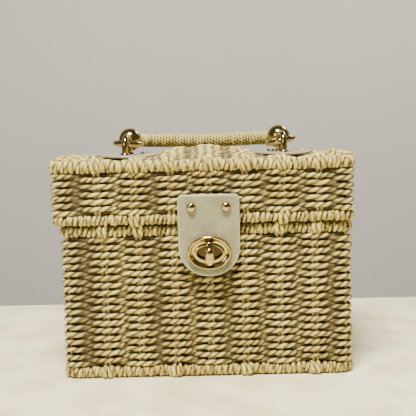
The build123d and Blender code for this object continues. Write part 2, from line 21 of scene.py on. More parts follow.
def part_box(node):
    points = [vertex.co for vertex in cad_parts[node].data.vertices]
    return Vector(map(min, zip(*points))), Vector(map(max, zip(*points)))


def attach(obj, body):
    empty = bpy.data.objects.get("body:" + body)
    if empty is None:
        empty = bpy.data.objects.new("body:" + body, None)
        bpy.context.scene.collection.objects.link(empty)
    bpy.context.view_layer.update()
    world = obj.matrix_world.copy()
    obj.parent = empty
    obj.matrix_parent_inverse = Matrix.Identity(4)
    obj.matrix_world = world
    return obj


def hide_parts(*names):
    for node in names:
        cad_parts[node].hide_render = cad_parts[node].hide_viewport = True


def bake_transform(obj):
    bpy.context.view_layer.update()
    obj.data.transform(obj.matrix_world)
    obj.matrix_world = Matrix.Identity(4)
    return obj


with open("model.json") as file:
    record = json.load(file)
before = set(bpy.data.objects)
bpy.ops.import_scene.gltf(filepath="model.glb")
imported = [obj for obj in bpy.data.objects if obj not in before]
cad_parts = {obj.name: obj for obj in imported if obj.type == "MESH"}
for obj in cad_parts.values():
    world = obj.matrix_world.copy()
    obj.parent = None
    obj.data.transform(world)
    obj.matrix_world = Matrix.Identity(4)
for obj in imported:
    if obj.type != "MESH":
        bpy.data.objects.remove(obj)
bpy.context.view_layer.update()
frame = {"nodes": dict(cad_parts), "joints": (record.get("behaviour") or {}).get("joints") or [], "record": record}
MM = 0.001  # the lengths below are in millimetres, and meshes are in metres
rng = np.random.default_rng(7)


def box_mm(node):
    """Lowest and highest corner of a CAD node, in millimetres."""
    low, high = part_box(node)
    return np.array(low) / MM, np.array(high) / MM


def placed(name, data):
    """A new object in the scene that holds the given data."""
    made = bpy.data.objects.new(name, data)
    bpy.context.scene.collection.objects.link(made)
    return made


def hinge_point(joint_name):
    """A point on a joint's axis, in millimetres."""
    joint = next(j for j in frame["joints"] if j["name"] == joint_name)
    return np.array(joint["pos_m"]) / MM


# %% [markdown]
# ## Meshes from whole arrays
#
# Each piece is worked out as a grid of points and handed to Blender in one go. A tube's grid has
# one row for each step along its path. A closed path joins its last row to its first, and an open
# one gets a flat cap at each end.

# %% A mesh from grids
TINT = "tint"  # a tone for each length of cord
FIBRE = "fibre"  # the place on a cord: distance along it, and the direction round it
SHADE = "shade"  # 0 in the open and 1 deep in a groove or between two cords: painted shade on the cords. On the flap it is the share of the paler rim.


def inside_out(points, quads):
    """Whether a tube's faces point inwards: the volume under them, seen from its middle, is negative."""
    corners = (points - points.mean(0))[quads]
    diagonals = np.cross(corners[:, 2] - corners[:, 0], corners[:, 3] - corners[:, 1])
    return (corners.mean(1) * diagonals).sum() < 0


class Grids:
    """Collects grids of points, which become one mesh."""

    def __init__(self):
        self.points, self.quads, self.caps = [], [], []
        self.tint, self.fibre, self.shade = [], [], []
        self.count = 0

    def add(self, grid, closed_rows, tint=0.0, fibre=None, shade=None):
        """grid is rows x columns x 3. Columns always close. Rows close, or their ends get caps."""
        rows, columns = grid.shape[:2]
        index = self.count + np.arange(rows * columns).reshape(rows, columns)
        near = index if closed_rows else index[:-1]
        far = np.roll(index, -1, 0) if closed_rows else index[1:]
        quads = np.stack([near, np.roll(near, -1, 1), np.roll(far, -1, 1), far], -1).reshape(-1, 4)
        ends = [] if closed_rows else [index[0][::-1], index[-1]]
        if inside_out(grid.reshape(-1, 3), quads - self.count):
            quads, ends = quads[:, ::-1], [end[::-1] for end in ends]
        self.quads.append(quads)
        self.caps += ends
        self.points.append(grid.reshape(-1, 3))
        self.tint.append(np.broadcast_to(tint, (rows,)).repeat(columns))
        self.fibre.append(np.zeros((rows * columns, 3)) if fibre is None else fibre.reshape(-1, 3))
        self.shade.append(np.zeros(rows * columns) if shade is None else shade.ravel())
        self.count += rows * columns

    def mesh(self, name, body, material, replaces=()):
        """Makes the object, with its points turned from millimetres to metres."""
        points = np.concatenate(self.points) * MM
        quads = np.concatenate(self.quads)
        sizes = np.concatenate([np.full(len(quads), 4), [len(end) for end in self.caps]]).astype(np.int32)
        corners = np.concatenate([quads.ravel(), *self.caps]).astype(np.int32)
        data = bpy.data.meshes.new(name)
        data.vertices.add(len(points))
        data.vertices.foreach_set("co", points.astype(np.float32).ravel())
        data.loops.add(len(corners))
        data.loops.foreach_set("vertex_index", corners)
        data.polygons.add(len(sizes))
        starts = np.concatenate([[0], np.cumsum(sizes)[:-1]]).astype(np.int32)
        data.polygons.foreach_set("loop_start", starts)
        data.polygons.foreach_set("use_smooth", sizes == 4)
        data.update(calc_edges=True)
        data.validate()
        for key, values in ((TINT, self.tint), (SHADE, self.shade)):
            layer = data.attributes.new(key, "FLOAT", "POINT")
            layer.data.foreach_set("value", np.concatenate(values).astype(np.float32))
        fibre = data.attributes.new(FIBRE, "FLOAT_VECTOR", "POINT")
        fibre.data.foreach_set("vector", np.concatenate(self.fibre).astype(np.float32).ravel())
        data.materials.append(material)
        piece = placed(name, data)
        if isinstance(body, str):
            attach(piece, body)
        if replaces:
            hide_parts(*replaces)
        print(f"{name}: {len(quads) * 2} triangles")
        return piece


# %% [markdown]
# ## Shader maths as plain expressions
#
# A material is a small formula. This wrapper lets the formula be written with +, - and *, and each
# operator adds the Math node that does it.

# %% A socket with operators


class Value:
    """A number that changes over a surface: one output socket of one node."""

    def __init__(self, tree, socket):
        self.tree, self.socket = tree, socket

    def math(self, operation, other=0.0, flipped=False):
        pair = (other, self) if flipped else (self, other)
        return self.tree.node("Math", {"operation": operation}, {0: pair[0], 1: pair[1]})["Value"]

    def __add__(self, other):
        return self.math("ADD", other)

    def __sub__(self, other):
        return self.math("SUBTRACT", other)

    def __rsub__(self, other):
        return self.math("SUBTRACT", other, flipped=True)

    def __mul__(self, other):
        return self.math("MULTIPLY", other)

    __radd__, __rmul__ = __add__, __mul__


class Outputs:
    """The outputs of a node, by name."""

    def __init__(self, tree, node):
        self.tree, self.made = tree, node

    def __getitem__(self, name):
        return Value(self.tree, self.made.outputs[name])


class Finish:
    """A material under construction."""

    def __init__(self, name):
        self.material = bpy.data.materials.new(name)
        self.material.use_nodes = True
        self.nodes = self.material.node_tree.nodes
        self.links = self.material.node_tree.links
        self.shader = self.nodes["Principled BSDF"]

    def put(self, socket, value):
        """Links a value to a socket, or sets a number or colour on it."""
        if isinstance(value, Value):
            self.links.new(value.socket, socket)
        else:
            socket.default_value = value

    def node(self, kind, settings=None, inputs=None):
        """Any node: its type, its settings, then the values of its sockets."""
        made = self.nodes.new(f"ShaderNode{kind}")
        for key, value in (settings or {}).items():
            setattr(made, key, value)
        for key, value in (inputs or {}).items():
            self.put(made.inputs[key], value)
        return Outputs(self, made)

    def ramp(self, value, low, high):
        """0 below low and 1 above high, with a smooth step between."""
        settings = {"interpolation_type": "SMOOTHSTEP"}
        inputs = {"Value": value, "From Min": low, "From Max": high}
        return self.node("MapRange", settings, inputs)["Result"]

    def mix(self, share, first, second):
        """A colour between two colours."""
        made = self.node("Mix", {"data_type": "RGBA"}).made
        for socket, value in ((made.inputs[0], share), (made.inputs[6], first), (made.inputs[7], second)):
            self.put(socket, value)
        return Value(self, made.outputs[2])

    def noise(self, vector, scale, detail=3.0, roughness=0.5):
        """Cloudy noise between 0 and 1 at a vector."""
        inputs = {"Vector": vector, "Scale": scale, "Detail": detail, "Roughness": roughness}
        return self.node("TexNoise", {}, inputs)["Fac"]

    def stretched(self, vector, x, y, z):
        """A vector with each part scaled."""
        return self.node("Mapping", {}, {"Vector": vector, "Scale": (x, y, z)})["Vector"]

    def place(self):
        """Object coordinates."""
        return self.node("TexCoord")["Object"]

    def attribute(self, name, output="Fac"):
        """One of the mesh's own values."""
        return self.node("Attribute", {"attribute_name": name})[output]

    def bump(self, height, depth_mm, under=None):
        """A normal that follows a height, depth_mm deep where the height is 1."""
        inputs = {"Height": height, "Distance": depth_mm * MM, "Strength": 1.0}
        if under is not None:
            inputs["Normal"] = under
        return self.node("Bump", {}, inputs)["Normal"]

    def finish(self, **sockets):
        """Fills the shader's sockets. Base_Color stands for Base Color."""
        for key, value in sockets.items():
            self.put(self.shader.inputs[key.replace("_", " ")], value)
        return self.material


def rgb(red, green, blue):
    """A colour with full alpha from linear parts."""
    return (red, green, blue, 1.0)


# %% [markdown]
# ## Paper cord
#
# The cord is two strips of paper, twisted and waxed. Its colour changes a little from one length
# to the next, fine creases run along the plies, and the creases get painted shade. Painted shade
# also darkens the groove between the plies and the cord that lies deep in a wall. The creases
# follow the cord, so they read the cord's own "fibre" attribute: the distance along it, and the
# direction round it as a cosine and a sine, which has no seam.

# %% The straw finish


def straw_finish(name, pale, deep, shade_tone):
    """Pale cord: tone by length and by cloudy patches, creases from noise drawn out along the cord, and painted
    shade in the creases, the ply grooves and deep in the wall.
    """
    straw = Finish(name)
    fibre = straw.attribute(FIBRE, "Vector")
    creases = straw.noise(straw.stretched(fibre, 0.30, 3.0, 3.0), 1.0, 4.0, 0.65)
    patches = straw.noise(straw.place(), 45.0, 3.0)
    tone = straw.ramp(straw.attribute(TINT) * 0.45 + patches * 0.5 + creases * 0.45, 0.30, 0.92)
    cord_colour = straw.mix(tone, deep, pale)
    # Painted shade in the creases: where the crease noise is low, the colour goes halfway to the shade tone.
    crease_shaded = straw.mix(straw.ramp(1.0 - creases, 0.52, 0.80) * 0.5, cord_colour, shade_tone)
    # Painted shade from the shade attribute: the ply grooves and the cord deep in a wall go almost to the shade
    # tone.
    painted_shade_share = straw.ramp(straw.attribute(SHADE), 0.08, 0.78)
    return straw.finish(
        Base_Color=straw.mix(painted_shade_share * 0.92, crease_shaded, shade_tone),
        Roughness=straw.ramp(creases, 0.2, 0.9) * -0.20 + 0.58,
        Normal=straw.bump(creases, 0.55),
        Specular_IOR_Level=0.42,
    )


# The last colour of each finish is the painted shade tone.
STRAW = straw_finish("straw_cord", rgb(0.90, 0.75, 0.25), rgb(0.58, 0.43, 0.11), rgb(0.035, 0.016, 0.003))
# The stakes' cord is a darker copy of the straw colours: painted shade, as they stand back between the weft rows.
SHADED_STAKE_STRAW = straw_finish("shaded_stake_cord", rgb(0.60, 0.46, 0.18), rgb(0.38, 0.26, 0.08), rgb(0.04, 0.02, 0.004))

# %% [markdown]
# ## A two-ply cord along a path
#
# A section through the cord is like a rounded figure of eight, and it turns as it goes along.
# Seen from the side, the turning eight makes the slanted bumps of a twisted cord.

# %% Cords
PLY_PITCH = 12.5  # one full turn of the two plies
PLY_OFFSET = 0.165  # from the cord's middle to a ply's middle, as a share of the cord's radius
ROUND = 12  # points round a cord
TWIST_DRIFT = 0.8  # how far the twist strays from even, in radians
GROOVE_SHADE = 0.62  # painted shade at the bottom of the groove between the plies
DEPTH_SHADE = 0.82  # painted shade that is added in the middle of a wall
STEP = 1.35  # distance between sections of a long cord


def along(points, closed):
    """Distance along a path at each of its points, and its whole length."""
    ahead = np.roll(points, -1, 0) if closed else points[1:]
    gaps = np.linalg.norm(ahead - (points if closed else points[:-1]), axis=1)
    total = np.concatenate([[0], np.cumsum(gaps)])
    return (total[:-1] if closed else total), total[-1]


def sampled(rows, places, closed=False):
    """Rows of an array at places between 0 and 1, by linear interpolation."""
    rows = np.vstack([rows, rows[:1]]) if closed else rows
    own = np.linspace(0, 1, len(rows))
    return np.stack([np.interp(places, own, column) for column in rows.T], -1)


def shares(count, closed):
    """Evenly spaced places from 0 to 1. A closed path leaves out 1, which is its start again."""
    return np.linspace(0, 1, count, endpoint=not closed)


def respaced(points, step, closed=False):
    """The same path with evenly spaced points."""
    distance, length = along(points, closed)
    if closed:
        points, distance = np.vstack([points, points[:1]]), np.append(distance, length)
    places = length * shares(max(4, int(round(length / step))), closed)
    return np.stack([np.interp(places, distance, column) for column in points.T], -1)


def directions(points, closed):
    """Unit tangents of a path."""
    if closed:
        run = np.roll(points, -1, 0) - np.roll(points, 1, 0)
    else:
        run = np.gradient(points, axis=0)
    return run / np.linalg.norm(run, axis=1, keepdims=True)


def wander(distance, size, wavelength):
    """A smooth random offset: three sines with random phases, size at its most."""
    total = np.zeros(len(distance))
    for share, stretch in ((0.5, 1.0), (0.3, 0.57), (0.2, 0.29)):
        total += share * np.sin(2 * pi * distance / (wavelength * stretch) + rng.uniform(0, 2 * pi))
    return size * total


def ply_outline(angle, offset):
    """Radius at each angle of two circles side by side that just fit in a circle of radius 1."""
    return offset * np.abs(np.cos(angle)) + np.sqrt((1 - offset) ** 2 - (offset * np.sin(angle)) ** 2)


def tube_grid(points, side, radius, closed, outline, turns=0.0, uneven=0.0):
    """Sections set square to a path.

    outline holds the section's radius at evenly spaced angles, as a share of radius. The section
    turns by `turns` whole turns over the path's length, plus `uneven` radians at each point. side
    is a vector, or one for each point, that shows where angle 0 points.
    """
    tangent = directions(points, closed)
    side = np.broadcast_to(side, points.shape)
    first = side - (side * tangent).sum(1, keepdims=True) * tangent
    first /= np.linalg.norm(first, axis=1, keepdims=True)
    second = np.cross(tangent, first)
    angle = np.linspace(0, 2 * pi, len(outline), endpoint=False)
    distance, length = along(points, closed)
    twist = 2 * pi * turns * distance / length + uneven
    turned_by = angle[None, :] - twist[:, None]
    return points[:, None] + radius * outline[None, :, None] * (
        np.cos(turned_by)[..., None] * first[:, None] + np.sin(turned_by)[..., None] * second[:, None]
    )


def lay_cord(
    grids,
    points,
    side,
    diameter,
    closed=False,
    step=STEP,
    pitch=PLY_PITCH,
    lean=None,
    depth=1.0,
    ply=PLY_OFFSET,
):
    """Adds one twisted cord to a mesh, with a random start to its twist, its own tone, and painted shade.

    lean is the distance from the middle of the wall to the cord, along side, and depth is the
    distance from there to the open. Together they say how deep each point of the cord lies, and the
    deeper points get more painted shade.
    """
    path = points if step is None else respaced(points, step, closed)
    places = shares(len(path), closed)
    side = sampled(side, places, closed) if np.ndim(side) > 1 else np.array(side, float)
    length = along(path, closed)[1]
    turns = round(length / pitch) if closed else length / pitch
    angle = np.linspace(0, 2 * pi, ROUND, endpoint=False)
    outline = ply_outline(angle, ply)
    radius = diameter / 2
    uneven = TWIST_DRIFT * wander(places * length, 1.0, length / max(1, round(length / 40.0)))
    grid = tube_grid(path, side, radius, closed, outline, turns, uneven)
    shape = grid.shape[:2]
    start = rng.uniform(0, 900, 3)
    fibre = np.empty((*shape, 3))
    fibre[..., 0] = (places * length)[:, None] + start[0]
    fibre[..., 1] = np.cos(angle) * radius + start[1]
    fibre[..., 2] = np.sin(angle) * radius + start[2]
    # Painted shade: darker in the groove between the plies, and darker still where the cord lies deep in a wall.
    shade = np.broadcast_to((1 - outline) / (1 - outline.min()) * GROOVE_SHADE, shape)
    if lean is not None:
        row_lean = sampled(np.reshape(lean, (-1, 1)), places, closed)
        place = row_lean + ((grid - path[:, None]) * np.broadcast_to(side, path.shape)[:, None]).sum(-1)
        shade = shade + DEPTH_SHADE * np.clip(1 - np.abs(place) / depth, 0, 1) ** 1.2
    tone = rng.uniform(0.1, 0.9) + wander(places * length, 0.28, 55.0)
    shift = int(rng.integers(ROUND))
    grids.add(*(np.roll(grid, shift, 1), closed, tone, np.roll(fibre, shift, 1), np.roll(shade, shift, 1)))


# %% [markdown]
# ## The box that the cords follow
#
# The CAD model's walls say where the middle of each woven wall runs and how thick it is. A weft
# swings from one face of that wall to the other, once for each stake that it passes.

# %% Sizes from the frame
CORD = 3.7  # diameter of the weaving cord
STAKE = 2.6  # diameter of one cord of a stake
STAKES_WIDTH = 4.8  # over both cords of a pair in the CAD model
CORNER = 5.5  # radius of the loop's corners


class Shell:
    """The basket or the lid: the loop in the middle of its walls, and the levels of its edges."""

    def __init__(self, prefix, low_wrap, high_wrap, row_pitch):
        front_low, front_high = box_mm(f"{prefix}_front_weave")
        back_high = box_mm(f"{prefix}_back_weave")[1]
        self.wall = front_high[1] - front_low[1]
        self.row_pitch = row_pitch
        self.left, self.right = front_low[0] + self.wall / 2, front_high[0] - self.wall / 2
        self.front, self.back = front_low[1] + self.wall / 2, back_high[1] - self.wall / 2
        self.middle = np.array([self.left + self.right, self.front + self.back]) / 2
        self.half = np.array([self.right - self.left, self.back - self.front]) / 2
        self.weave_low, self.weave_high = front_low[2], front_high[2]
        self.front_stakes = self.stakes(f"{prefix}_front_stakes", 0, 7)
        self.side_stakes = self.stakes(f"{prefix}_left_stakes", 1, 3)
        self.low_edge, self.high_edge = self.edge(low_wrap), self.edge(high_wrap)

    @staticmethod
    def stakes(node, axis, count):
        """The middle of each pair of stakes along a wall."""
        low, high = box_mm(node)
        return np.linspace(low[axis] + STAKES_WIDTH / 2, high[axis] - STAKES_WIDTH / 2, count)

    @staticmethod
    def edge(wrap):
        """Height of the wire and outer diameter of the wrap."""
        low, high = box_mm(wrap)
        return (low[2] + high[2]) / 2, high[2] - low[2]

    def loop(self, step=0.5):
        """The rounded rectangle in the middle of the walls, closed, and its outward directions."""
        quarter = np.linspace(0, pi / 2, 9)
        corners = []
        for turn, signs in enumerate(((1, 1), (-1, 1), (-1, -1), (1, -1))):
            centre = self.middle + np.array(signs) * (self.half - CORNER)
            angle = quarter + turn * pi / 2
            corners.append(centre + CORNER * np.stack([np.cos(angle), np.sin(angle)], -1))
        flat = np.concatenate(corners)
        path = respaced(np.column_stack([flat, np.zeros(len(flat))]), step, closed=True)
        run = directions(path, True)
        return path, np.column_stack([run[:, 1], -run[:, 0], np.zeros(len(run))])

    def posts(self):
        """Where the four corner posts stand."""
        reach = self.half - CORNER * (1 - cos(pi / 4))
        return [self.middle + reach * signs for signs in ((-1, -1), (-1, 1), (1, -1), (1, 1))]

    def uprights(self):
        """Every pair of stakes: its place, and whether it stands in a side wall."""
        spots = [((x, y), False) for x in self.front_stakes for y in (self.front, self.back)]
        return spots + [((x, y), True) for x in (self.left, self.right) for y in self.side_stakes]


basket = Shell("body", "base_edge_wrap", "body_rim_wrap", 2.7)
lid = Shell("lid", "lid_rim_wrap", "lid_top_wrap", 2.5)

# %% [markdown]
# ## Woven walls
#
# Row i of the weft leans out by d(s) = A * soft(cos(pi * (k(s) + i))), where k(s) counts the stakes
# passed and soft() flattens the crests. Because each row is half a wave behind the row below it, the
# crests stagger like bricks.

# %% Weft rings
WALL_SLACK = 0.6  # how far the crests stay inside the wall's faces
PANEL_SLACK = 0.5  # the same for the base and the top


def soft_cos(phase, firmness=0.8):
    """A cosine with flatter crests: tanh(firmness * cos) scaled back to 1."""
    return np.tanh(firmness * np.cos(phase)) / np.tanh(firmness)


def weave_walls(shell, name, body, replaces, parts):
    """Closed rings of weft, split by height into a few meshes."""
    path, outward = shell.loop()
    distance, length = along(path, True)
    spots = np.array([spot for spot, _ in shell.uprights()] + shell.posts())
    nearest = np.argmin(((path[None, :, :2] - spots[:, None]) ** 2).sum(-1), 1)
    passed = np.sort(distance[nearest])
    marks = np.concatenate([[passed[-1] - length], passed, [passed[0] + length]])
    count = np.interp(distance, marks, np.arange(-1, len(passed) + 1))
    rows = int(round((shell.weave_high - shell.weave_low) / shell.row_pitch))
    row_height = (shell.weave_high - shell.weave_low) / rows
    swing = (shell.wall - CORD) / 2 - WALL_SLACK
    for number, group in enumerate(np.array_split(np.arange(rows), parts)):
        grids = Grids()
        for row in group:
            lean = swing * soft_cos(pi * (count + row)) + wander(distance, 0.25, length / 9)
            points = path + outward * lean[:, None]
            points[:, 2] = shell.weave_low + (row + 0.5) * row_height
            points[:, 2] += wander(distance, 0.32, length / 11) + wander(distance, 0.2, length / 31)
            pitch = PLY_PITCH * rng.uniform(0.8, 1.25)
            size = CORD * rng.uniform(0.96, 1.06)
            lay_cord(grids, points, outward, size, True, pitch=pitch, lean=lean, depth=shell.wall / 2)
        own = replaces if number == 0 else ()
        grids.mesh(f"{name}_{number + 1}", body, STRAW, own)


SIDES_OF_BOX = ("front", "back", "left", "right")
weave_walls(basket, "basket_weft", "basket", [f"body_{side}_weave" for side in SIDES_OF_BOX], 3)
weave_walls(lid, "lid_weft", "lid", [f"lid_{side}_weave" for side in SIDES_OF_BOX], 1)

# %% [markdown]
# ## The base and the crowned top
#
# The base and the top are the same weave lying flat: their stakes run from front to back and the
# weft runs from side to side. Years of carrying pull the top up in its middle, so its height is a
# low arch both ways.

# %% Flat weaves
HUMP = 5.6  # extra height in the middle of the lid, where the handle pulls
HUMP_WIDTH = 46.0
PRESSED = 1.5  # the most that the weave rises under a disc
patch_boxes = [box_mm(f"handle_patch_{name}") for name in ("left", "right")]
DISCS = [((low + high) / 2, (high - low) / 2) for low, high in patch_boxes]
TOP_SINK = 1.5  # the top weave lies this far under the middle of the top binding
LID_RISE = 4.2  # rise of the lid's top in its middle


def crown(shell, x, y, rise):
    """Height of a low arch over the panel: rise * (1 - u^2) * (1 - v^2).

    The lid's arch also has a hump behind its middle, and it is held down round the discs.
    """
    u, v = (x - shell.middle[0]) / shell.half[0], (y - shell.middle[1]) / shell.half[1]
    across, along_y = np.clip(1 - u**2, 0, 1), np.clip(1 - v**2, 0, 1)
    height = rise * across * along_y
    if rise == 0:
        return height
    height = height + HUMP * np.exp(-((x / HUMP_WIDTH) ** 2)) * along_y * (1 + 0.5 * v)
    for place, reach in DISCS:
        gap = np.hypot((x - place[0]) / reach[0], (y - place[1]) / (1.5 * reach[1]))
        height = np.minimum(height, PRESSED + 10.0 * np.clip(gap - 1, 0, None))
    return height


def press_flat(grids, floor):
    """Pushes every point under a level up to it, as standing on a table does."""
    for grid in grids.points:
        np.maximum(grid[:, 2], floor, out=grid[:, 2])


def weave_panel(shell, name, body, replaces, edge, rise, floor=None):
    """Rows of weft from side to side, over and under the stakes, with a flat underside if asked."""
    wire_z, wrap = edge
    reach = shell.half - wrap / 2 + np.array([1.0, 0.3])
    rows = int(round(2 * reach[1] / basket.row_pitch))
    spacing = np.diff(shell.front_stakes)[0]
    swing = (shell.wall - CORD) / 2 - PANEL_SLACK
    x = shell.middle[0] + np.arange(-reach[0], reach[0], 0.7)
    up = np.broadcast_to((0.0, 0.0, 1.0), (len(x), 3))
    grids = Grids()
    for row in range(rows):
        y = shell.middle[1] - reach[1] + (row + 0.5) * 2 * reach[1] / rows + wander(x, 0.3, 60.0)
        lean = swing * soft_cos(pi * ((x - shell.front_stakes[0]) / spacing + row)) + wander(x, 0.25, 80.0)
        points = np.column_stack([x, y, wire_z + crown(shell, x, y, rise) + lean])
        lay_cord(grids, points, up, CORD, lean=lean, depth=shell.wall / 2)
    if floor is not None:
        press_flat(grids, floor)
    return grids.mesh(name, body, STRAW, replaces)


lid_top = (lid.high_edge[0] - TOP_SINK, lid.high_edge[1])
weave_panel(lid, "lid_top_weft", "lid", ("lid_top_weave",), lid_top, LID_RISE)
weave_panel(basket, "base_weft", "basket", ("base_weave",), basket.low_edge, 0.0, floor=0.0)

# %% [markdown]
# ## Stakes
#
# A stake is two cords side by side. It runs up the wall and over the wrapped edge before it dives
# into the next face, so each pair shows as two short cords across the edge. The steel posts in the
# corners are wound with the same cord, so they show as one more upright.

# %% Stake pairs
PAIR = (-STAKE * 0.52, STAKE * 0.52)  # the two cords of a pair, from its middle
STAKE_PAST = 2.0  # how far a stake runs into the edges


def upright_pairs(shell, name, body, prefix):
    """Straight pairs in the middle of the four walls, and one cord for each corner post."""
    grids = Grids()
    z = np.array([shell.weave_low - STAKE_PAST, shell.weave_high + STAKE_PAST])
    spots = []
    for (x, y), in_side_wall in shell.uprights():
        spots += [(x, y + offset) if in_side_wall else (x + offset, y) for offset in PAIR]
    for x, y in spots + shell.posts():
        points = np.column_stack([np.full(2, x), np.full(2, y), z])
        lay_cord(grids, points, (1.0, 0.0, 0.0), STAKE)
    nodes = [f"{prefix}_{side}_stakes" for side in SIDES_OF_BOX] + [f"{prefix}_corner_posts"]
    # Darker stake cord: painted shade.
    return grids.mesh(name, body, SHADED_STAKE_STRAW, nodes)


def flat_pairs(shell, name, body, replaces, edge, rise):
    """Pairs that run from front to back in the base or the top."""
    wire_z, wrap = edge
    grids = Grids()
    reach = shell.half[1] - wrap / 2 + 1.0
    y = shell.middle[1] + np.linspace(-reach, reach, 60)
    for x in shell.front_stakes:
        for offset in PAIR:
            line = np.full(len(y), x + offset)
            points = np.column_stack([line, y, wire_z + crown(shell, line, y, rise)])
            lay_cord(grids, points, (0.0, 0.0, 1.0), STAKE)
    # Darker stake cord: painted shade.
    return grids.mesh(name, body, SHADED_STAKE_STRAW, replaces)


upright_pairs(basket, "basket_stakes", "basket", "body")
upright_pairs(lid, "lid_stakes", "lid", "lid")
flat_pairs(lid, "lid_top_stake_pairs", "lid", ("lid_top_stakes",), lid_top, LID_RISE)
flat_pairs(basket, "base_stake_pairs", "basket", ("base_stakes",), basket.low_edge, 0.0)

# %% [markdown]
# ## Wrapped edges
#
# Each wire is wound with cord, turn against turn. A turn is a helix round the wire: its centre
# keeps a fixed distance from the wire while its angle goes round once for each pitch.

# %% Wound edges
WIND_PITCH = 3.6
WIND_LEAN = 1.3  # how far each turn slants along the wire
WOUND_STEP = 1.3  # distance between sections of the wound cord
WOUND_CORD = 4.1
WOUND_PLY = 0.2  # ply offset of the wound cord
CROSSING_CORD = 3.3
CROSSING_LIFT = 0.6  # the crossing cords' middle outside the binding


def wound_edge(shell, name, body, edge, replaces, floor=None):
    """One long cord wound round a shell's wire loop, with turns that are never quite even."""
    wire_z, wrap = edge
    path, outward = shell.loop(0.25)
    length = along(path, True)[1]
    turns = round(length / WIND_PITCH)
    radius = (wrap - WOUND_CORD) / 2
    place = shares(int(turns * 2 * pi * radius / WOUND_STEP), True)
    distance = place * length
    middle, out = sampled(path, place, True), sampled(outward, place, True)
    uneven = wander(distance, 0.55, length / 61) + wander(distance, 0.5, length / 23)
    angle = 2 * pi * turns * place + uneven
    radial = out * np.cos(angle)[:, None] + np.array([0, 0, 1.0]) * np.sin(angle)[:, None]
    reach = radius + wander(distance, 0.32, length / 71)
    slant = WIND_LEAN * np.sin(angle) + wander(distance, 0.35, length / 53)
    points = middle + radial * reach[:, None] + directions(middle, True) * slant[:, None]
    points[:, 2] += wire_z + wander(distance, 0.3, length / 17)
    grids = Grids()
    lay_cord(grids, points, radial, WOUND_CORD, True, None, lean=reach, depth=wrap / 2, ply=WOUND_PLY)
    if floor is not None:
        press_flat(grids, floor)
    return grids.mesh(name, body, STRAW, replaces)


wound_edge(lid, "lid_top_binding", "lid", lid.high_edge, ("lid_top_wrap",))
wound_edge(lid, "lid_rim_binding", "lid", lid.low_edge, ("lid_rim_wrap",))
wound_edge(basket, "basket_rim_binding", "basket", basket.high_edge, ("body_rim_wrap",))
wound_edge(basket, "base_binding", "basket", basket.low_edge, ("base_edge_wrap",), floor=0.0)

# %% [markdown]
# Pairs of stakes cross the bindings. On the lid's top edge every pair shows; on the bottom edge
# every second one does, and on the two rims only a few do.

# %% Pairs over the edges


def crossing(grids, centre, outward, radius, start, stop):
    """Two short cords over an edge: arcs round the wire that close up as they come down."""
    count = 40
    angle = np.linspace(radians(start), radians(stop), count)
    round_it = np.cos(angle)[:, None] * outward + np.sin(angle)[:, None] * np.array([0.0, 0.0, 1.0])
    sink = np.sin(np.linspace(0, pi, count)) ** 0.35
    reach = radius * (0.35 + 0.65 * sink)
    sideways = np.cross(outward, (0.0, 0.0, 1.0))
    spread = CROSSING_CORD * np.linspace(0.48, 0.64, count)
    slant = rng.uniform(-0.8, 0.8) * np.linspace(-1, 1, count)
    for way in (-1, 1):
        points = centre + reach[:, None] * round_it + sideways * (way * spread + slant)[:, None]
        depth = radius + CROSSING_CORD / 2
        lay_cord(grids, points, round_it, CROSSING_CORD, step=1.0, lean=reach, depth=depth)


def edge_pairs(shell, name, body, edge, chosen, start, stop, floor=None):
    """Crossings on all four sides for the chosen stakes, counted from the left."""
    wire_z, wrap = edge
    radius = wrap / 2 + CROSSING_LIFT
    grids = Grids()
    for index, x in enumerate(shell.front_stakes):
        for y, way in ((shell.front, -1.0), (shell.back, 1.0)):
            if index in chosen:
                place = np.array([x + rng.uniform(-1, 1), y, wire_z])
                crossing(grids, place, np.array([0.0, way, 0.0]), radius, start, stop)
    for index, y in enumerate(shell.side_stakes):
        for x, way in ((shell.left, -1.0), (shell.right, 1.0)):
            if index in chosen:
                crossing(grids, np.array([x, y, wire_z]), np.array([way, 0.0, 0.0]), radius, start, stop)
    if floor is not None:
        press_flat(grids, floor)
    return grids.mesh(name, body, STRAW)


edge_pairs(lid, "lid_top_crossings", "lid", lid.high_edge, range(7), -80, 150)
edge_pairs(lid, "lid_rim_crossings", "lid", lid.low_edge, (1, 5), -95, 75)
edge_pairs(basket, "basket_rim_crossings", "basket", basket.high_edge, (0, 1, 5, 6), -75, 95)
edge_pairs(basket, "base_crossings", "basket", basket.low_edge, (0, 2, 4, 6), -60, 80, floor=0.0)

# %% [markdown]
# ## Hinge lashings
#
# The lid has no metal hinge. Short cords are laced round its back rim and the basket's, and on the
# bag they bend when the lid opens. Each lashing is a flat coil that belongs to neither body.

# %% Lashings
LASHING_CORD = 2.2
LASHING_PLAY = 0.15  # between a lashing and the rims it holds
LASHING_PITCH = 5.0


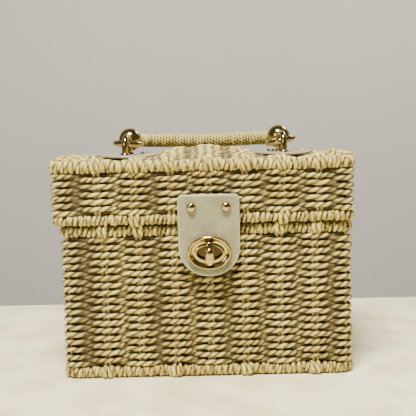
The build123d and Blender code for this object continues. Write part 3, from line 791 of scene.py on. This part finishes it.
def lashing(node):
    """Turns of cord round two wires: a stadium-shaped loop that moves along X as it goes round."""
    low, high = box_mm(node)
    bottom = np.array([basket.back, basket.high_edge[0]])
    top = np.array([lid.back, lid.low_edge[0]])
    radius = basket.high_edge[1] / 2 + LASHING_CORD / 2 + LASHING_PLAY
    up = (top - bottom) / np.linalg.norm(top - bottom)
    out = np.array([up[1], -up[0]])
    half = np.linspace(-pi / 2, pi / 2, 12)
    back_arc = bottom + radius * (np.cos(half + pi)[:, None] * up + np.sin(half + pi)[:, None] * out)
    front_arc = top + radius * (np.cos(half)[:, None] * up + np.sin(half)[:, None] * out)
    once = np.concatenate([front_arc, back_arc])
    once = respaced(np.column_stack([np.zeros(len(once)), once]), 1.0, closed=True)
    turns = int((high[0] - low[0]) / LASHING_CORD)
    yz = np.tile(once[:, 1:], (turns, 1))
    x = np.linspace(low[0] + LASHING_CORD / 2, high[0] - LASHING_CORD / 2, len(yz))
    side = np.column_stack([np.zeros(len(yz)), yz - (bottom + top) / 2])
    grids = Grids()
    lay_cord(grids, np.column_stack([x, yz]), side, LASHING_CORD, step=None, pitch=LASHING_PITCH)
    piece = grids.mesh(f"{node}_cord", None, STRAW, (node,))
    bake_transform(piece)


for node_name in [name for name in frame["nodes"] if name.startswith("hinge_lashing")]:
    lashing(node_name)

# %% [markdown]
# ## Polished fittings
#
# The fittings are die-cast and plated in pale gold. Smooth curved metal shows every facet, so each
# fitting is a new, finely divided surface: a bar along a path, a turned shape, or a section
# carried round an ellipse. Two soft noises keep the polish from looking like a mirror.

# %% The gold finish


def gold_finish(name, light, dark):
    """Plated metal: deep gold, a little rougher in cloudy patches, with faint waves from polishing."""
    gold = Finish(name)
    cloud = gold.noise(gold.place(), 260.0, 4.0)
    scuffs = gold.noise(gold.stretched(gold.place(), 900, 900, 250), 1.0, 2.0)
    return gold.finish(
        Base_Color=gold.mix(cloud, dark, light),
        Metallic=1.0,
        Roughness=cloud * 0.10 + scuffs * 0.05 + 0.05,
        Normal=gold.bump(gold.noise(gold.place(), 120.0, 2.0), 0.12),
    )


GOLD = gold_finish("pale_gold", rgb(0.62, 0.49, 0.21), rgb(0.44, 0.32, 0.11))
# Near-black gold for the lock's base plate: painted shade in the slot behind the eyelet.
SHADED_GOLD = gold_finish("pale_gold_painted_shade", rgb(0.10, 0.07, 0.03), rgb(0.05, 0.035, 0.015))


def steel_finish():
    """Dull steel with fine drawn lines."""
    steel = Finish("frame_steel")
    lines = steel.noise(steel.stretched(steel.place(), 90, 90, 1400), 1.0, 3.0)
    return steel.finish(
        Base_Color=steel.mix(lines, rgb(0.30, 0.29, 0.28), rgb(0.50, 0.49, 0.47)),
        Metallic=1.0,
        Roughness=lines * 0.2 + 0.3,
    )


STEEL = steel_finish()

# %% Bars and arcs
ROUND_BAR = 28


def arc(centre, first, second, radius, start, stop, count):
    """Points on a circle: centre + radius * (cos(a) * first + sin(a) * second), in degrees."""
    angle = np.radians(np.linspace(start, stop, count))
    first, second = np.array(first, float), np.array(second, float)
    return centre + radius * (np.cos(angle)[:, None] * first + np.sin(angle)[:, None] * second)


def bar(grids, points, side, radius, closed=False):
    """A plain round bar along a path."""
    grids.add(tube_grid(points, side, radius, closed, np.ones(ROUND_BAR)), closed)


def turned(grids, centre, axis, side, places, radii):
    """A turned shape: rings of the given radii at places along an axis."""
    axis = np.array(axis, float)
    side = np.array(side, float)
    other = np.cross(axis, side)
    angle = np.linspace(0, 2 * pi, 40, endpoint=False)
    ring = np.cos(angle)[:, None] * side + np.sin(angle)[:, None] * other
    grid = centre + np.asarray(places)[:, None, None] * axis + np.asarray(radii)[:, None, None] * ring[None]
    grids.add(grid, False)


# %% Arches
pivot = hinge_point("handle_swing")
SIDES = {"left": -1, "right": 1}
ARCH_BAR = 4.5
ARCH_REACH = 7.0  # from the arch's middle to a leg
ARCH_YAW = 8.0  # each arch is turned a little, in degrees
STUD = 1.2  # radius of the studs under the legs


def arch(name, side):
    """A hoop on two legs: straight up, half round, straight down, with a collar at each foot."""
    node = f"handle_arch_{name}"
    low, high = box_mm(node)
    patch_top = box_mm(f"handle_patch_{name}")[1][2]
    centre = np.array([(low[0] + high[0]) / 2, 0.0, patch_top])
    turn = radians(side * ARCH_YAW)
    across = np.array([-sin(turn), cos(turn), 0.0])
    up = np.array([0.0, 0.0, 1.0])
    rise = high[2] - ARCH_BAR / 2 - ARCH_REACH - patch_top
    leg = np.linspace(-2.0, rise, 8)[:-1, None] * up
    bow = arc(centre + rise * up, -across, up, ARCH_REACH, 0, 180, 40)
    path = np.concatenate([centre - ARCH_REACH * across + leg, bow, centre + ARCH_REACH * across + leg[::-1]])
    grids = Grids()
    bar(grids, path, np.cross(across, up), ARCH_BAR / 2)
    for end in (-1, 1):
        foot = centre + end * ARCH_REACH * across
        turned(grids, foot, up, across, [-1.5, 0.0, 0.9, 1.5, 1.7], [3.5, 3.5, 3.4, 2.9, 2.2])
    for end in (-1, 1):
        foot = centre + end * ARCH_REACH * across
        turned(grids, foot, up, across, [low[2] - patch_top, -1.0], [STUD, STUD])
    grids.mesh(f"{node}_bar", "lid", GOLD, (node,))


for side_name, side_sign in SIDES.items():
    arch(side_name, side_sign)

# %% [markdown]
# ## The handle
#
# The grip is a D of tube wound with thin cord. Each end sits in a ball-shaped cap, and the cap's
# eye links through the arch like a chain link, so the handle swings from one side to the other.

# %% End caps
BALL_RADIUS = 8.9
COLLAR = 6.9  # largest radius of the collar
COLLAR_REACH = 9.2  # from the ball's middle to the collar's end
EYE_RADIUS = 9.55
EYE_TILT = {"left": 4.0, "right": -12.0}  # degrees
TIP = 0.01  # radius of a closed end, which has to be more than nothing


def ball_height():
    """The balls' middles are a little over the pivots."""
    return box_mm("handle_cap_left")[1][2] - BALL_RADIUS


def end_cap(name):
    """A ball that runs into a collar, and an eye: radius at y is max(sqrt(R^2 - y^2), collar)."""
    node = f"handle_cap_{name}"
    arch_low, arch_high = box_mm(f"handle_arch_{name}")
    x = (arch_low[0] + arch_high[0]) / 2
    ball_y = box_mm(node)[1][1] - COLLAR_REACH
    centre = np.array([x, ball_y, ball_height()])
    grids = Grids()
    turn = np.linspace(-pi / 2, 0.72, 30)
    places = np.concatenate([BALL_RADIUS * np.sin(turn), [6.6, 7.6, 8.3, 8.9, COLLAR_REACH, COLLAR_REACH]])
    radii = np.concatenate([BALL_RADIUS * np.cos(turn), [6.45, 6.5, COLLAR, COLLAR, 6.4, 5.2]])
    radii[0] = TIP
    turned(grids, centre, (0, 1, 0), (1, 0, 0), places, radii)
    tilt = radians(EYE_TILT[name])
    across = np.array([cos(tilt), 0.0, -sin(tilt)])
    middle = np.array([x, EYE_RADIUS, pivot[2]])
    ring = arc(middle, across, (0, 1, 0), EYE_RADIUS, 0, 360, 73)[:-1]
    bar(grids, ring, np.cross(across, (0.0, 1.0, 0.0)), ARCH_BAR / 2, closed=True)
    grids.mesh(f"{node}_metal", "handle", GOLD, (node,))


for side_name in SIDES:
    end_cap(side_name)

# %% Wrapped grip
GRIP_CORD = 2.6
GRIP_PITCH = 2.35  # between turns
GRIP_PLY_PITCH = 4.6
GRIP_THICKNESS = 11.0
GRIP_DROP = 1.2  # how far the corners lie under the balls' middles
GRIP_SAG = 0.2  # how far the grip's middle lies under the pivots
GRIP_STEP = 1.1
GRIP_BENDS = (12.0, 300.0, 12.0)  # radii at the two corners and the middle


def filleted(corners, radii):
    """Straight runs joined by tangent arcs, one radius for each inner corner."""
    parts = [corners[:1]]
    for before, corner, after, radius in zip(corners, corners[1:], corners[2:], radii):
        one = (before - corner) / np.linalg.norm(before - corner)
        two = (after - corner) / np.linalg.norm(after - corner)
        half = np.arccos(np.clip(one @ two, -1, 1)) / 2
        middle = corner + (one + two) / np.linalg.norm(one + two) * radius / sin(half)
        first = corner + one * radius / np.tan(half) - middle
        last = corner + two * radius / np.tan(half) - middle
        share = np.linspace(0, 1, 24)[:, None]
        sweep = pi - 2 * half
        curve = (np.sin((1 - share) * sweep) * first + np.sin(share * sweep) * last) / sin(sweep)
        parts.append(middle + curve)
    return np.concatenate([*parts, corners[-1:]])


def grip():
    """Thin cord wound round the tube, turn against turn, from cap to cap."""
    low, high = box_mm("handle_wrap")
    grip_y = high[1] - GRIP_THICKNESS / 2
    ball_y = box_mm("handle_cap_left")[1][1] - COLLAR_REACH
    x = (high[0] - low[0]) / 2 - GRIP_THICKNESS / 2
    end_z = ball_height()
    corner_z = end_z - GRIP_DROP
    corners = np.array(
        [
            (-x, ball_y + 3, end_z),
            (-x, grip_y - 1, corner_z),
            (0, grip_y, pivot[2] - GRIP_SAG),
            (x, grip_y - 1, corner_z),
            (x, ball_y + 3, end_z),
        ]
    )
    path = respaced(filleted(corners, GRIP_BENDS), 0.25)
    distance, length = along(path, False)
    turns = length / GRIP_PITCH
    radius = (GRIP_THICKNESS - GRIP_CORD) / 2
    steps = int(turns * 2 * pi * radius / GRIP_STEP)
    place = np.linspace(0, 1, steps)
    middle = sampled(path, place)
    run = directions(middle, False)
    up = np.array([0.0, 0.0, 1.0]) - run * run[:, 2:]
    up /= np.linalg.norm(up, axis=1, keepdims=True)
    out = np.cross(run, up)
    angle = 2 * pi * turns * place
    radial = up * np.cos(angle)[:, None] + out * np.sin(angle)[:, None]
    reach = radius + wander(place * length, 0.12, 7.0)
    grids = Grids()
    points = middle + radial * reach[:, None]
    depth = GRIP_THICKNESS / 2
    lay_cord(grids, points, radial, GRIP_CORD, step=None, pitch=GRIP_PLY_PITCH, lean=reach, depth=depth)
    grids.mesh("grip_winding", "handle", STRAW, ("handle_wrap",))


grip()

# %% [markdown]
# ## Leatherette
#
# The flap and the discs under the arches are smooth coated leather. Its grain is a net of fine
# pebbles, its tone drifts a little, and it dips where a rivet or an eyelet pulls it in. The shape
# is worked out in polar steps from a hole or a middle to an outline, with a rounded edge.

# %% Leather finishes


def leather_finish(name, light, dark, rim, gloss):
    """Coated leather: pebble grain from cells, drifting tone, a paler rolled rim and a soft sheen."""
    hide = Finish(name)
    cells = {"Vector": hide.place(), "Scale": 1500.0}
    pebble = hide.node("TexVoronoi", {"feature": "SMOOTH_F1"}, cells)["Distance"]
    drift = hide.noise(hide.place(), 70.0, 3.0)
    wear = hide.noise(hide.place(), 420.0, 4.0)
    tone = hide.ramp(drift * 0.7 + wear * 0.3, 0.3, 0.72)
    grain = hide.bump(pebble, 0.10)
    return hide.finish(
        Base_Color=hide.mix(hide.attribute(SHADE), hide.mix(tone, dark, light), rim),
        Roughness=wear * 0.18 + gloss,
        Normal=hide.bump(drift, 0.8, grain),
        Coat_Weight=0.12,
        Coat_Roughness=0.35,
    )


FLAP_COLOURS = (rgb(0.335, 0.315, 0.20), rgb(0.245, 0.23, 0.14), rgb(0.49, 0.465, 0.33))
PATCH_COLOURS = (rgb(0.37, 0.32, 0.255), rgb(0.28, 0.24, 0.185), rgb(0.42, 0.37, 0.30))
FLAP_LEATHER = leather_finish("flap_leather", *FLAP_COLOURS, 0.32)
PATCH_LEATHER = leather_finish("patch_leather", *PATCH_COLOURS, 0.36)

# %% The flap
anchor_low, anchor_high = box_mm("flap_anchor")
tongue_low = box_mm("flap_tongue")[0]
eyelet_low, eyelet_high = box_mm("lock_eyelet")
FLAP_X = (anchor_low[0] + anchor_high[0]) / 2
FLAP_HALF = (anchor_high[0] - anchor_low[0]) / 2
FLAP_FRONT = anchor_low[1]
FLAP_BACK = anchor_high[1]
LOCK = np.array([FLAP_X, eyelet_low[1], (eyelet_low[2] + eyelet_high[2]) / 2])
SLOT = (8.7, 4.8)  # half sizes of the slot
EYELET = (15.0, 11.75)  # half sizes of the eyelet's rim
EYELET_DEPTH = 2.6
ROUND_END = 19.5  # height of the flap's round end
BEND = hinge_point("flap_bend")
rivet_low, rivet_high = box_mm("flap_rivets")
RIVET_HEAD = 6.5
SHANK = 1.2  # radius
RIVET_PLACES = (rivet_low[0] + RIVET_HEAD / 2, rivet_high[0] - RIVET_HEAD / 2)
RIVETS = [np.array([x, FLAP_FRONT, (rivet_low[2] + rivet_high[2]) / 2]) for x in RIVET_PLACES]


def oval_radius(angle, half):
    """Distance from the middle of an ellipse to its edge at each angle."""
    return 1 / np.sqrt((np.cos(angle) / half[0]) ** 2 + (np.sin(angle) / half[1]) ** 2)


def flap_outline(angles):
    """Distance from the lock to the flap's edge: straight sides, round end, small top corners."""
    top, bottom = anchor_high[2] - LOCK[2], tongue_low[2] - LOCK[2]
    corner = 3.0
    end = np.linspace(pi, 2 * pi, 90)
    quarter = np.linspace(0, pi / 2, 12)
    inset = FLAP_HALF - corner
    edge_x = [
        FLAP_HALF * np.cos(end),
        inset + corner * np.cos(quarter),
        np.linspace(inset, -inset, 50)[1:-1],
        -inset - corner * np.sin(quarter),
    ]
    edge_z = [
        bottom + ROUND_END + ROUND_END * np.sin(end),
        top - corner + corner * np.sin(quarter),
        np.full(48, top),
        top - corner + corner * np.cos(quarter),
    ]
    x, z = np.concatenate(edge_x), np.concatenate(edge_z)
    line = respaced(np.column_stack([x, z]), 0.3, closed=True)
    angle = np.arctan2(line[:, 1], line[:, 0])
    order = np.argsort(angle)
    return np.interp(angles, angle[order], np.hypot(*line.T)[order], period=2 * pi)


def rounded_edge(to_edge, roll):
    """Drop of a rolled edge: 0 beyond `roll` from the edge and `roll` at the edge, as a quarter circle."""
    share = np.clip(1 - to_edge / roll, 0, 1)
    return roll * (1 - np.sqrt(1 - share**2))


def flap():
    """Rings of points from the slot to the outline on the front, then back on the inside."""
    angle = np.linspace(-pi, pi, 260, endpoint=False)
    outer = flap_outline(angle)
    inner = oval_radius(angle, SLOT)
    share = np.concatenate([np.linspace(0, 0.9, 46), 1 - np.geomspace(0.08, 0.0001, 16)])
    reach = inner[:, None] + (outer - inner)[:, None] * share[None]
    x = LOCK[0] + reach * np.cos(angle)[:, None]
    z = LOCK[2] + reach * np.sin(angle)[:, None]
    to_edge = outer[:, None] - reach
    relief = -rounded_edge(to_edge, 0.9)
    for rivet in RIVETS:
        gap = np.hypot(x - rivet[0], z - rivet[2])
        relief -= 0.75 * np.exp(-((gap / 5.2) ** 2))
    oval = np.hypot((x - LOCK[0]) / EYELET[0], (z - LOCK[2]) / EYELET[1])
    relief -= 0.45 * np.exp(-(((oval - 1.0) / 0.16) ** 2))
    relief += 0.30 * np.sin(x * 0.21 + 1.0) * np.sin(z * 0.17)
    relief -= 0.45 * np.exp(-(((z - BEND[2]) / 4.0) ** 2))
    rim = np.clip(1 - to_edge / 1.6, 0, 1) ** 0.7
    front = np.stack([x, FLAP_FRONT - relief, z], -1)
    back = np.stack([x, FLAP_BACK - 0.15 - rounded_edge(to_edge, 0.6), z], -1)
    grids = Grids()
    grids.add(np.concatenate([front, back[:, ::-1]], 1), True, shade=np.concatenate([rim, rim[:, ::-1]], 1))
    piece = grids.mesh("leather_flap", None, FLAP_LEATHER, ("flap_anchor", "flap_tongue"))
    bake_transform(piece)


flap()

# %% Leather discs


def disc(name):
    """An oval disc with a wavy edge: rows run from its middle over the edge and back."""
    node = f"handle_patch_{name}"
    low, high = box_mm(node)
    middle, half = (low + high) / 2, (high - low) / 2
    share = np.concatenate([np.linspace(0.002, 0.94, 26), 1 - np.geomspace(0.05, 0.0005, 12)])
    angle = np.linspace(0, 2 * pi, 120, endpoint=False)
    wobble = 1 + 0.012 * np.sin(3 * angle + middle[0]) + 0.008 * np.sin(5 * angle)
    x = middle[0] + share[:, None] * half[0] * np.cos(angle) * wobble
    y = middle[1] + share[:, None] * half[1] * np.sin(angle) * wobble
    relief = 0.6 * share[:, None] ** 4 * np.sin(2 * angle + 1.0)
    to_edge = (1 - share)[:, None] * half[:1]
    top = np.stack([x, y, high[2] + relief - rounded_edge(to_edge, 0.7)], -1)
    under = np.stack([x, y, low[2] + relief], -1)
    grids = Grids()
    grids.add(np.concatenate([top, under[::-1]]), False)
    grids.mesh(f"{node}_disc", "lid", PATCH_LEATHER, (node,))


for side_name in SIDES:
    disc(side_name)

# %% [markdown]
# ## The turn lock
#
# The eyelet is an oval dish clamped in the flap. The knob stands on the basket, pokes through the
# eyelet's slot, and holds the flap while it stands upright. It is a flat wing with a hump across
# its middle, and both are superellipsoids: ellipsoids with their sines raised to a power.

# %% Eyelet, knob and rivets
SPINDLE = 2.0  # radius


def eyelet():
    """A section carried round: at share t between the slot and the rim, standing out by the given amount."""
    angle = np.linspace(0, 2 * pi, 140, endpoint=False)
    inner = oval_radius(angle, SLOT)
    outer = oval_radius(angle, EYELET)
    lip = [(0.0, -2.7), (0.0, 0.9), (0.02, 1.25), (0.08, 1.45), (0.15, 1.35), (0.22, 1.1)]
    dish = [(0.32, 0.95), (0.45, 1.05), (0.58, 1.45), (0.70, 2.05), (0.78, 2.42), (0.84, EYELET_DEPTH)]
    rim = [(0.90, 2.5), (0.95, 2.1), (0.985, 1.5), (1.0, 0.8)]
    back = [(1.0, 0.0), (0.5, 0.0), (0.12, 0.0), (0.09, -2.7)]
    share, stand = np.array(lip + dish + rim + back).T
    reach = inner[:, None] + (outer - inner)[:, None] * share
    x = LOCK[0] + reach * np.cos(angle)[:, None]
    z = LOCK[2] + reach * np.sin(angle)[:, None]
    grids = Grids()
    grids.add(np.stack([x, np.broadcast_to(FLAP_FRONT - stand, x.shape), z], -1), True)
    grids.mesh("lock_eyelet_dish", "flap", GOLD, ("lock_eyelet",))


def superellipsoid(grids, centre, half, flatness):
    """Points half * (c(v)c(u), s(v), c(v)s(u)), with c and s raised to a power that flattens the sides."""
    u = np.linspace(0, 2 * pi, 56, endpoint=False)
    v = np.linspace(-pi / 2 + 0.01, pi / 2 - 0.01, 34)[:, None]

    def power(value, exponent):
        return np.sign(value) * np.abs(value) ** exponent

    x = power(np.cos(v), flatness[1]) * power(np.cos(u), flatness[0])
    y = power(np.sin(v), flatness[1]) + 0 * u
    z = power(np.cos(v), flatness[1]) * power(np.sin(u), flatness[0])
    grids.add(centre + np.stack([x, y, z], -1) * half, False)


def knob():
    """The wing, the hump and the spindle behind them."""
    low, high = box_mm("lock_knob")
    middle = (low + high) / 2
    wing = np.array([LOCK[0], low[1] + 3.0, middle[2]])
    half_length = (high[2] - low[2]) / 2
    grids = Grids()
    superellipsoid(grids, wing, np.array([3.15, 1.35, half_length]), (0.85, 0.75))
    superellipsoid(grids, wing - (0, 0.55, 0), np.array([2.95, 2.45, 4.1]), (0.8, 0.85))
    turned(grids, wing, (0, 1, 0), (1, 0, 0), [0.0, high[1] - wing[1]], [SPINDLE, SPINDLE])
    grids.mesh("lock_knob_metal", "knob", GOLD, ("lock_knob",))


def rivets():
    """Domed heads with a small flat rim, and their shanks."""
    turn = np.linspace(0, pi / 2, 14)
    grids = Grids()
    for rivet in RIVETS:
        places = np.concatenate([[-0.9, -0.05], 0.35 + 2.0 * np.sin(turn)])
        radii = RIVET_HEAD / 2 * np.concatenate([[1.0, 1.0], 0.98 * np.cos(turn)])
        radii[-1] = TIP
        turned(grids, rivet, (0, -1, 0), (1, 0, 0), places, radii)
        turned(grids, rivet, (0, 1, 0), (1, 0, 0), [0.5, rivet_high[1] - FLAP_FRONT], [SHANK, SHANK])
    grids.mesh("flap_rivet_domes", "lid", GOLD, ("flap_rivets",))


eyelet()
knob()
rivets()

# %% [markdown]
# ## Parts that keep their CAD shape
#
# Plates, nuts, wires and the grip's core are plain shapes that are mostly hidden. They stay as they
# are and take a finish.

# %% Finishes for the CAD nodes


def core_finish():
    """Dull plastic tube with faint mottling."""
    core = Finish("grip_core")
    mottle = core.noise(core.place(), 300.0)
    colour = core.mix(mottle, rgb(0.16, 0.12, 0.07), rgb(0.24, 0.19, 0.12))
    return core.finish(Base_Color=colour, Roughness=0.7)


finishes = {
    "straw_cord": STRAW,
    "frame_steel": STEEL,
    "pale_gold": GOLD,
    "flap_leather": FLAP_LEATHER,
    "patch_leather": PATCH_LEATHER,
    "grip_core": core_finish(),
}
for part in frame["record"]["subparts"]:
    # The lock's base plate takes the near-black gold: painted shade.
    finish = SHADED_GOLD if part["node"] == "lock_base_plate" else finishes[part["material_slot"]]
    for material_slot in frame["nodes"][part["node"]].material_slots:
        material_slot.material = finish

# %% [markdown]
# ## Table, wall, camera and light
#
# A pale table top ends behind the bag, and a warm grey wall stands well back from it. The main light
# is a panel over the front, so the cords throw short, soft shadows. A weak one at the left fills
# them, and one behind the bag lights it when it is seen from the back.

# %% Stage


def stage_finish(name, light, dark, scale, rough):
    """A plain surface with very faint mottling."""
    plain = Finish(name)
    mottle = plain.ramp(plain.noise(plain.place(), scale, 5.0), 0.32, 0.62)
    return plain.finish(Base_Color=plain.mix(mottle, dark, light), Roughness=rough)


def sheet(name, corners, material):
    """One flat sheet of the stage, from four corners in metres."""
    data = bpy.data.meshes.new(name)
    data.from_pydata(corners, [], [(0, 1, 2, 3)])
    data.materials.append(material)
    placed(name, data)


TABLE = stage_finish("table_top", rgb(1.0, 0.95, 0.66), rgb(0.80, 0.73, 0.46), 26.0, 0.5)
WALL = stage_finish("wall", rgb(0.97, 0.955, 0.90), rgb(0.93, 0.915, 0.86), 2.0, 0.9)
TABLE_BACK = 0.174  # where the table ends
WALL_Y = 1.1
sheet("table", [(-2, -2, 0), (2, -2, 0), (2, TABLE_BACK, 0), (-2, TABLE_BACK, 0)], TABLE)
backdrop = [(-3.0, -1.5), (3.0, -1.5), (3.0, 2.5), (-3.0, 2.5)]
sheet("backdrop", [(x, WALL_Y, z) for x, z in backdrop], WALL)

# %% Camera
FRAME_STEPS = 416  # the width of the frame in equal steps
LENS_STEPS = 765.0  # focal length in the same steps
camera_data = bpy.data.cameras.new("camera")
camera_data.sensor_width = 36.0
camera_data.lens = LENS_STEPS / FRAME_STEPS * camera_data.sensor_width
camera = placed("camera", camera_data)
bpy.context.scene.camera = camera


def aim(spot, yaw, pitch, roll):
    """Sets the camera at a spot, with its heading, tilt and roll in degrees."""
    yaw, pitch, roll = (radians(value) for value in (yaw, pitch, roll))
    ahead = np.array([sin(yaw) * cos(pitch), cos(yaw) * cos(pitch), sin(pitch)])
    right = np.array([cos(yaw), -sin(yaw), 0.0])
    up = np.cross(right, ahead)
    turned_right = right * cos(roll) + up * sin(roll)
    turned_up = up * cos(roll) - right * sin(roll)
    columns = np.column_stack([turned_right, turned_up, -ahead, spot])
    camera.matrix_world = Matrix([*columns.tolist(), [0, 0, 0, 1]])


aim((0.00195, -0.5714, 0.1768), -0.03, -6.385, -1.3)

# %% Light


def panel(name, place, target, size, power, colour):
    """A soft rectangular light that faces a target."""
    data = bpy.data.lights.new(name, "AREA")
    data.shape, data.size, data.size_y = "RECTANGLE", size[0], size[1]
    data.energy, data.color = power, colour
    light = placed(name, data)
    light.location = place
    light.rotation_euler = (Vector(target) - Vector(place)).to_track_quat("-Z", "Y").to_euler()


panel("ceiling", (-0.08, -0.42, 0.95), (0, -0.02, 0.08), (0.30, 0.2), 27.0, (1.0, 0.95, 0.82))
panel("window", (-0.7, -0.9, 0.5), (0, 0, 0.08), (0.4, 0.4), 2.5, (1.0, 0.97, 0.90))
panel("behind", (0.8, 0.8, 1.1), (0, 0, 0.08), (0.5, 0.4), 7.0, (1.0, 0.97, 0.90))
world = bpy.data.worlds.new("room")
world.use_nodes = True
world.node_tree.nodes["Background"].inputs["Color"].default_value = rgb(0.80, 0.77, 0.71)
world.node_tree.nodes["Background"].inputs["Strength"].default_value = 0.13
bpy.context.scene.world = world
